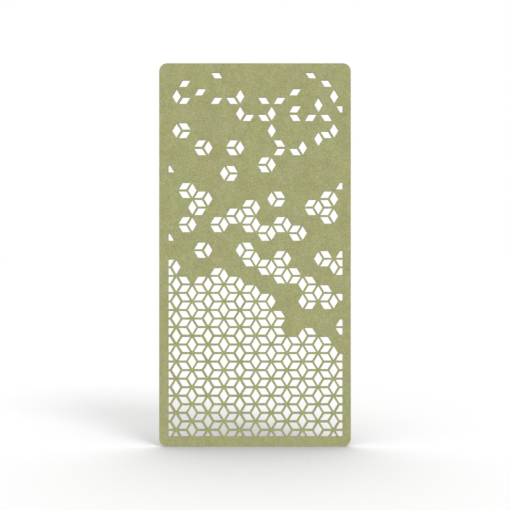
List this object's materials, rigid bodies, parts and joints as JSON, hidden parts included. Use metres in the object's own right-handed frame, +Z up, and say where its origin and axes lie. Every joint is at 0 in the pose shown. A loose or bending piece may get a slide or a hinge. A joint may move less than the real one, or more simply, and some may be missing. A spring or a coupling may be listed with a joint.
{
  "type": "hanging acoustic screen",
  "caption": "Tall hanging acoustic screen of pressed felt board with rounded corners, cut through with upright and leaning lozenges that read as small cubes.",
  "frame": {"origin": "middle of the top edge, halfway between the two hanging sleeves and halfway through the board", "axes": "+Z up, +X across the screen to the right as seen from the front, +Y through the board from front to back"},
  "size_m": [1.2, 0.012, 2.4],
  "materials": {
    "felt": "pressed needle-punched polyester felt, olive green with a fine mottle",
    "sleeve_metal": "zinc-plated steel"
  },
  "bodies": {
    "root": {"felt_panel": "felt", "hanging_sleeve_left": "sleeve_metal", "hanging_sleeve_right": "sleeve_metal"}
  },
  "joints": []
}
